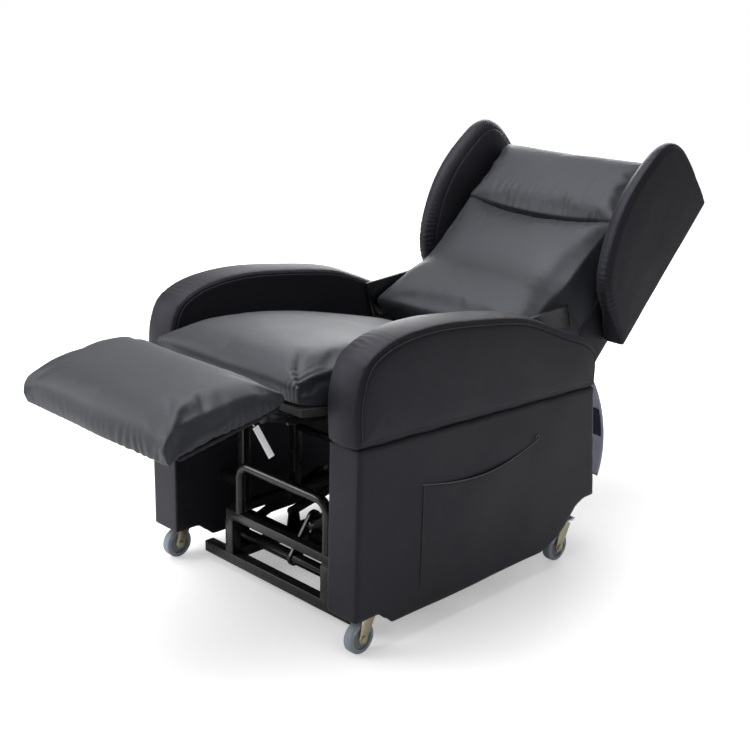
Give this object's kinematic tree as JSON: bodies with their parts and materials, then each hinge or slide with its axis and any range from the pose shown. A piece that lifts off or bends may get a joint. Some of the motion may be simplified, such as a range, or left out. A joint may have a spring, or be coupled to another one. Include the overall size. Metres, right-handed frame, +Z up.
{
  "type": "lift recliner chair",
  "caption": "Upholstered lift recliner on swivel castors with winged reclining back, folding legrest, side pocket and a steel link-driven lift frame.",
  "frame": {"origin": "middle of the chair's footprint on the floor, in the reclined pose with the legrest raised", "axes": "+X to the sitter's left, +Y from the feet to the head, +Z up"},
  "size_m": [0.7465, 1.7595, 1.0442],
  "materials": {
    "black_steel": "satin black powder coat",
    "side_leather": "satin fine grain faux leather, near black",
    "top_leather": "satin fine grain faux leather, charcoal",
    "black_plastic": "moulded black plastic",
    "rubber_pad": "matte black rubber",
    "deck_cover": "plywood deck wrapped in black lining cloth",
    "drape_cloth": "dark cloth outside, pale lilac lining inside",
    "white_label": "plain white woven label, blank",
    "zinc_steel": "bright zinc plating",
    "yellow_zinc": "yellow passivated zinc plating",
    "grey_wheel": "grey non-marking rubber"
  },
  "bodies": {
    "base": {"base_cross_bars": "black_steel", "base_side_rails": "black_steel", "bar_end_caps": "black_plastic", "stop_posts": "black_steel", "stop_pads": "rubber_pad", "base_link_brackets": "black_steel", "castor_carrier_bars": "black_steel", "castor_rails": "black_steel", "castor_plates": "zinc_steel", "power_tray": "black_steel", "power_supply": "black_plastic", "lift_motor": "black_plastic", "lift_motor_brackets": "black_steel"},
    "front_links": {"front_lift_links": "black_steel", "torque_tube": "black_steel"},
    "rear_links": {"rear_lift_links": "black_steel"},
    "lift_rod": {"lift_rod": "zinc_steel"},
    "chair": {"lift_frame_cross_bars": "black_steel", "lift_frame_rails": "black_steel", "lift_frame_hoop": "black_steel", "seat_posts": "black_steel", "seat_rails": "black_steel", "frame_link_plates": "black_steel", "back_motor_bar": "black_steel", "panel_brackets": "black_steel", "back_hinge_plates": "black_steel", "seat_deck": "deck_cover", "seat_cushion": "top_leather", "side_panel_left": "side_leather", "side_panel_right": "side_leather", "side_pocket": "side_leather", "arm_left": "side_leather", "arm_right": "side_leather"},
    "back": {"back_frame_rails": "black_steel", "back_frame_bars": "black_steel", "back_shell": "side_leather", "back_side_plates": "black_steel", "back_crank_tube": "black_steel", "back_cushion": "top_leather", "head_pillow": "top_leather", "wing_left": "side_leather", "wing_right": "side_leather"},
    "rear_drape": {"rear_drape": "drape_cloth"},
    "back_motor": {"back_motor": "black_plastic"},
    "back_motor_rod": {"back_motor_rod": "zinc_steel"},
    "legrest_links": {"legrest_links": "black_steel", "legrest_torque_tube": "black_steel"},
    "legrest": {"legrest_board": "side_leather", "legrest_cushion": "top_leather", "legrest_brackets": "black_steel", "blank_label": "white_label"},
    "castor_front_left": {"castor_fork_front_left": "yellow_zinc"},
    "wheel_front_left": {"castor_wheel_front_left": "grey_wheel"},
    "castor_front_right": {"castor_fork_front_right": "yellow_zinc"},
    "wheel_front_right": {"castor_wheel_front_right": "grey_wheel"},
    "castor_rear_left": {"castor_fork_rear_left": "yellow_zinc"},
    "wheel_rear_left": {"castor_wheel_rear_left": "grey_wheel"},
    "castor_rear_right": {"castor_fork_rear_right": "yellow_zinc"},
    "wheel_rear_right": {"castor_wheel_rear_right": "grey_wheel"}
  },
  "joints": [
    {"name": "lift", "type": "hinge", "parent": "base", "child": "front_links", "pos_m": [0, -0.31875, 0.078], "axis": [1, 0, 0], "range_deg": [0, 70]},
    {"name": "chair_tip", "type": "hinge", "parent": "front_links", "child": "chair", "pos_m": [0, -0.03875, 0.17], "axis": [1, 0, 0], "range_deg": [-49, 0]},
    {"name": "rear_link_swing", "type": "hinge", "parent": "base", "child": "rear_links", "pos_m": [0, -0.13875, 0.08], "axis": [1, 0, 0], "range_deg": [0, 67.2]},
    {"name": "lift_rod_slide", "type": "slide", "parent": "base", "child": "lift_rod", "axis": [0, -1, 0], "range_m": [0, 0.105]},
    {"name": "back_recline", "type": "hinge", "parent": "chair", "child": "back", "pos_m": [0, 0.21125, 0.548], "axis": [1, 0, 0], "range_deg": [0, 33]},
    {"name": "back_motor_swing", "type": "hinge", "parent": "chair", "child": "back_motor", "pos_m": [0, -0.14875, 0.33], "axis": [1, 0, 0], "range_deg": [0, 3.4]},
    {"name": "back_rod_slide", "type": "slide", "parent": "back_motor", "child": "back_motor_rod", "axis": [0, 0.9647, 0.2633], "range_m": [0, 0.062]},
    {"name": "drape_hang", "type": "hinge", "parent": "back", "child": "rear_drape", "pos_m": [0, 0.49725, 0.452], "axis": [1, 0, 0], "range_deg": [-33, 0]},
    {"name": "legrest_swing", "type": "hinge", "parent": "chair", "child": "legrest_links", "pos_m": [0, -0.50875, 0.54], "axis": [1, 0, 0], "range_deg": [0, 110]},
    {"name": "legrest_fold", "type": "hinge", "parent": "legrest_links", "child": "legrest", "pos_m": [0, -0.59675, 0.566], "axis": [1, 0, 0], "range_deg": [-30, 0]},
    {"name": "swivel_front_left", "type": "hinge", "parent": "base", "child": "castor_front_left", "pos_m": [0.335, -0.40475, 0.092], "axis": [0, 0, 1], "continuous": true},
    {"name": "roll_front_left", "type": "hinge", "parent": "castor_front_left", "child": "wheel_front_left", "pos_m": [0.335, -0.42475, 0.0375], "axis": [1, 0, 0], "continuous": true},
    {"name": "swivel_front_right", "type": "hinge", "parent": "base", "child": "castor_front_right", "pos_m": [-0.335, -0.40475, 0.092], "axis": [0, 0, 1], "continuous": true},
    {"name": "roll_front_right", "type": "hinge", "parent": "castor_front_right", "child": "wheel_front_right", "pos_m": [-0.335, -0.42475, 0.0375], "axis": [1, 0, 0], "continuous": true},
    {"name": "swivel_rear_left", "type": "hinge", "parent": "base", "child": "castor_rear_left", "pos_m": [0.335, 0.30625, 0.092], "axis": [0, 0, 1], "continuous": true},
    {"name": "roll_rear_left", "type": "hinge", "parent": "castor_rear_left", "child": "wheel_rear_left", "pos_m": [0.335, 0.28625, 0.0375], "axis": [1, 0, 0], "continuous": true},
    {"name": "swivel_rear_right", "type": "hinge", "parent": "base", "child": "castor_rear_right", "pos_m": [-0.335, 0.30625, 0.092], "axis": [0, 0, 1], "continuous": true},
    {"name": "roll_rear_right", "type": "hinge", "parent": "castor_rear_right", "child": "wheel_rear_right", "pos_m": [-0.335, 0.28625, 0.0375], "axis": [1, 0, 0], "continuous": true}
  ],
  "couplings": [
    {"joint": "chair_tip", "follows": "lift", "ratio": -0.7},
    {"joint": "rear_link_swing", "follows": "lift", "ratio": 0.96},
    {"joint": "lift_rod_slide", "follows": "lift", "m_per_rad": 0.085935},
    {"joint": "back_motor_swing", "follows": "back_recline", "ratio": 0.1028},
    {"joint": "back_rod_slide", "follows": "back_recline", "m_per_rad": 0.10719},
    {"joint": "drape_hang", "follows": "back_recline", "ratio": -1},
    {"joint": "legrest_fold", "follows": "legrest_swing", "ratio": -0.27273}
  ]
}
